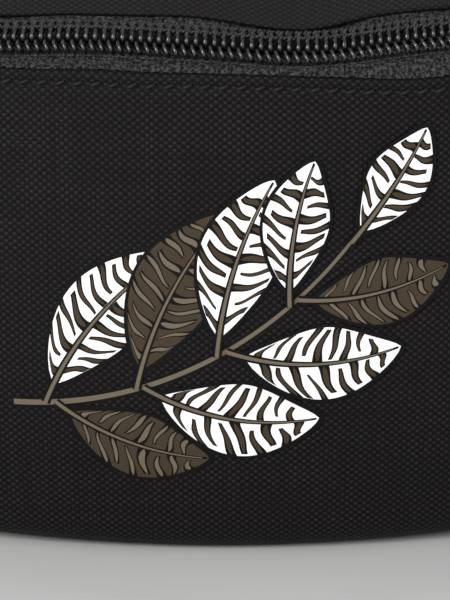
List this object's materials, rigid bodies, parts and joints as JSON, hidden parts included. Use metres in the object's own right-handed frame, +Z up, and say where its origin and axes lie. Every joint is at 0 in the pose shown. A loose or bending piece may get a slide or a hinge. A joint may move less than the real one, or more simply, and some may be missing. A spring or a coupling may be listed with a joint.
{
  "type": "zipped waist pack",
  "caption": "Crescent-shaped zipped waist pack of black woven fabric with padded wings, a webbing belt and a side-release buckle.",
  "frame": {"origin": "middle of the pack's bounding box in plan, at the level it stands on", "axes": "+Z up; the front of the bag, with the zip above it, faces -Y; +X is to the right seen from the front, along the bag's width"},
  "size_m": [0.4014, 0.2326, 0.1344],
  "materials": {
    "shell_fabric": "matt plain-weave polyester, near black, faint warm cast",
    "back_mesh": "matt spacer mesh over foam",
    "zip_tape": "matt knitted zip tape",
    "zip_coil": "satin nylon coil",
    "slider_metal": "black lacquered zinc casting, slightly glossy",
    "webbing": "ribbed polypropylene webbing",
    "buckle_plastic": "finely textured moulded acetal",
    "grip_rubber": "soft matt moulded grip"
  },
  "bodies": {
    "bag": {"front_panel": "shell_fabric", "top_panel": "shell_fabric", "piping": "shell_fabric", "zip_end_tab_left": "shell_fabric", "zip_end_tab_right": "shell_fabric", "wing_left": "shell_fabric", "wing_right": "shell_fabric", "back_panel": "back_mesh", "zip_tape_lower": "zip_tape", "zip_tape_upper": "zip_tape", "zip_coil_lower": "zip_coil", "zip_coil_upper": "zip_coil", "webbing_left": "webbing", "webbing_right": "webbing", "buckle_female": "buckle_plastic"},
    "slider": {"zip_slider": "slider_metal"},
    "pull": {"pull_cord": "webbing", "pull_grip": "grip_rubber"},
    "loose_end": {"buckle_male": "buckle_plastic", "buckle_prong_upper": "buckle_plastic", "buckle_prong_lower": "buckle_plastic", "webbing_adjuster": "webbing", "webbing_keeper": "webbing"}
  },
  "joints": [
    {"name": "zip_travel", "type": "hinge", "parent": "bag", "child": "slider", "pos_m": [0, 0.07372, 0.0945], "axis": [0, 0, 1], "range_deg": [-78, 0]},
    {"name": "pull_swing", "type": "hinge", "parent": "slider", "child": "pull", "pos_m": [0.11881, -0.07299, 0.09978], "axis": [-0.7771, -0.6293, 0], "range_deg": [0, 190]},
    {"name": "buckle_release", "type": "slide", "parent": "bag", "child": "loose_end", "axis": [1, 0, 0], "range_m": [0, 0.03], "deforming": ["webbing_right", "buckle_prong_upper", "buckle_prong_lower"]}
  ]
}
